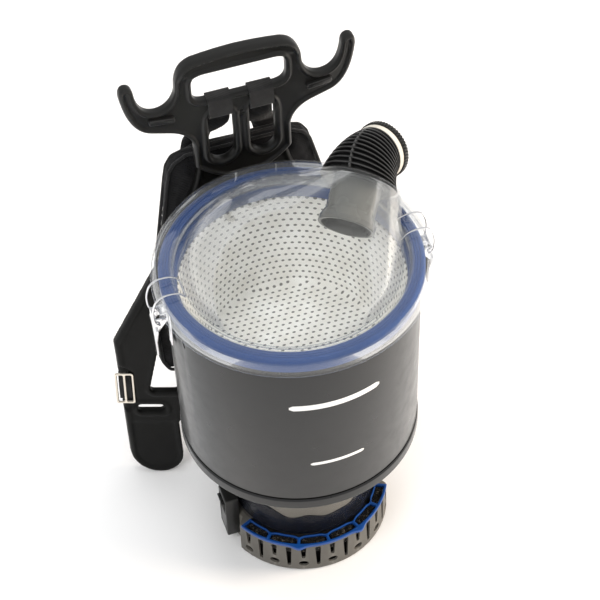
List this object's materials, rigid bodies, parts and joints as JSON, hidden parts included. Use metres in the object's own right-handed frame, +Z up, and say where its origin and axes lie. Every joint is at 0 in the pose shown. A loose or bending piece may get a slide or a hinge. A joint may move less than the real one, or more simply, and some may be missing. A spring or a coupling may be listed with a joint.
{
  "type": "backpack vacuum cleaner",
  "caption": "Backpack vacuum cleaner with a clear domed lid, swivelling hose elbow, filter bag, vented motor base and a back harness with a carry handle.",
  "frame": {"origin": "where the canister's axis meets the floor, at the underside of the base", "axes": "+Z up along the canister's axis, +Y towards the wearer's back, +X to the hose inlet's side"},
  "size_m": [0.373, 0.377, 0.59],
  "materials": {
    "canister_plastic": "satin moulded, dark warm grey",
    "clear_plastic": "clear moulded plastic",
    "smoked_plastic": "translucent smoke grey",
    "blue_ring": "moulded, cornflower blue",
    "blue_frame": "moulded, deep blue",
    "filter_fabric": "white perforated felt",
    "foam": "open cell foam",
    "foot_plastic": "fine grained dark grey",
    "pale_plastic": "moulded, pale grey",
    "pad_fabric": "woven with piping",
    "webbing": "woven webbing",
    "rubber": "matt",
    "chrome": "bright wire and pressed sheet",
    "nickel": "nickel plated",
    "copper": "wound wire",
    "carbon": "carbon",
    "steel": "zinc plated",
    "black_plastic": "satin, fine grain"
  },
  "bodies": {
    "chassis": {"canister": "canister_plastic", "canister_base": "canister_plastic", "premotor_filter": "foam", "filter_retainer": "black_plastic", "filter_ring": "blue_ring", "filter_bag": "filter_fabric", "lid": "clear_plastic", "inlet_tube": "smoked_plastic", "swivel_retainer": "clear_plastic", "motor_housing": "smoked_plastic", "motor_gasket": "rubber", "fan_case": "steel", "motor_can": "steel", "motor_field": "copper", "bearing_lower": "steel", "bearing_upper": "steel", "brush_left": "carbon", "brush_right": "carbon", "motor_mount": "rubber", "base_ring": "foot_plastic", "base_cover": "foot_plastic", "exhaust_frame": "blue_frame", "exhaust_foam": "foam", "switch_bezel": "black_plastic", "cord_inlet": "black_plastic", "base_screw_front_left": "steel", "base_screw_front_right": "steel", "base_screw_rear": "steel", "latch_bracket_left": "chrome", "latch_pin_left": "chrome", "latch_bracket_right": "chrome", "latch_pin_right": "chrome", "harness_head": "black_plastic", "back_frame": "black_plastic", "back_pad": "pad_fabric", "strap_loop_left": "webbing", "strap_pad_left": "pad_fabric", "strap_web_left": "webbing", "strap_loop_right": "webbing", "strap_pad_right": "pad_fabric", "strap_web_right": "webbing", "mount_bracket_upper": "black_plastic", "mount_bracket_lower": "black_plastic", "bracket_screw_1": "steel", "bracket_screw_2": "steel", "bracket_screw_3": "steel", "bracket_screw_4": "steel"},
    "elbow": {"hose_elbow": "black_plastic", "elbow_collar": "pale_plastic"},
    "hose_ring": {"hose_lock_ring": "black_plastic"},
    "rotor": {"impeller": "steel", "armature": "copper", "motor_shaft": "steel"},
    "rocker": {"switch_rocker": "black_plastic"},
    "lever_left": {"latch_lever_left": "chrome"},
    "bail_left": {"latch_bail_left": "chrome"},
    "lever_right": {"latch_lever_right": "chrome"},
    "bail_right": {"latch_bail_right": "chrome"},
    "adjuster_left": {"adjuster_left": "nickel"},
    "adjuster_right": {"adjuster_right": "nickel"}
  },
  "joints": [
    {"name": "elbow_swivel", "type": "hinge", "parent": "chassis", "child": "elbow", "pos_m": [0.0925, 0.0465, 0.4705], "axis": [0.5295, 0.7194, 0.4496], "continuous": true},
    {"name": "hose_ring_turn", "type": "hinge", "parent": "elbow", "child": "hose_ring", "pos_m": [0.12442, 0.07679, 0.47538], "axis": [0.8024, 0.5416, -0.2507], "range_deg": [0, 45]},
    {"name": "motor_spin", "type": "hinge", "parent": "chassis", "child": "rotor", "pos_m": [0, 0, 0.1], "axis": [0, 0, 1], "continuous": true},
    {"name": "switch_rock", "type": "hinge", "parent": "chassis", "child": "rocker", "pos_m": [-0.096, -0.012, 0.045], "axis": [0, 1, 0], "range_deg": [0, 10]},
    {"name": "latch_left_swing", "type": "hinge", "parent": "chassis", "child": "lever_left", "pos_m": [-0.1469, 0, 0.40025], "axis": [0, 1, 0], "range_deg": [0, 60]},
    {"name": "bail_left_fold", "type": "hinge", "parent": "lever_left", "child": "bail_left", "pos_m": [-0.1525, 0, 0.397], "axis": [0, 1, 0], "range_deg": [-60, 0]},
    {"name": "latch_right_swing", "type": "hinge", "parent": "chassis", "child": "lever_right", "pos_m": [0.1469, 0, 0.40025], "axis": [0, -1, 0], "range_deg": [0, 60]},
    {"name": "bail_right_fold", "type": "hinge", "parent": "lever_right", "child": "bail_right", "pos_m": [0.1525, 0, 0.397], "axis": [0, -1, 0], "range_deg": [-60, 0]},
    {"name": "adjuster_left_swing", "type": "hinge", "parent": "chassis", "child": "adjuster_left", "pos_m": [-0.17249, 0.14202, 0.15107], "axis": [-0.9409, 0.3387, 0], "range_deg": [0, 50]},
    {"name": "adjuster_right_swing", "type": "hinge", "parent": "chassis", "child": "adjuster_right", "pos_m": [0.17249, 0.14202, 0.15107], "axis": [-0.9409, -0.3387, 0], "range_deg": [0, 50]}
  ],
  "couplings": [
    {"joint": "bail_left_fold", "follows": "latch_left_swing", "ratio": -1},
    {"joint": "bail_right_fold", "follows": "latch_right_swing", "ratio": -1}
  ]
}
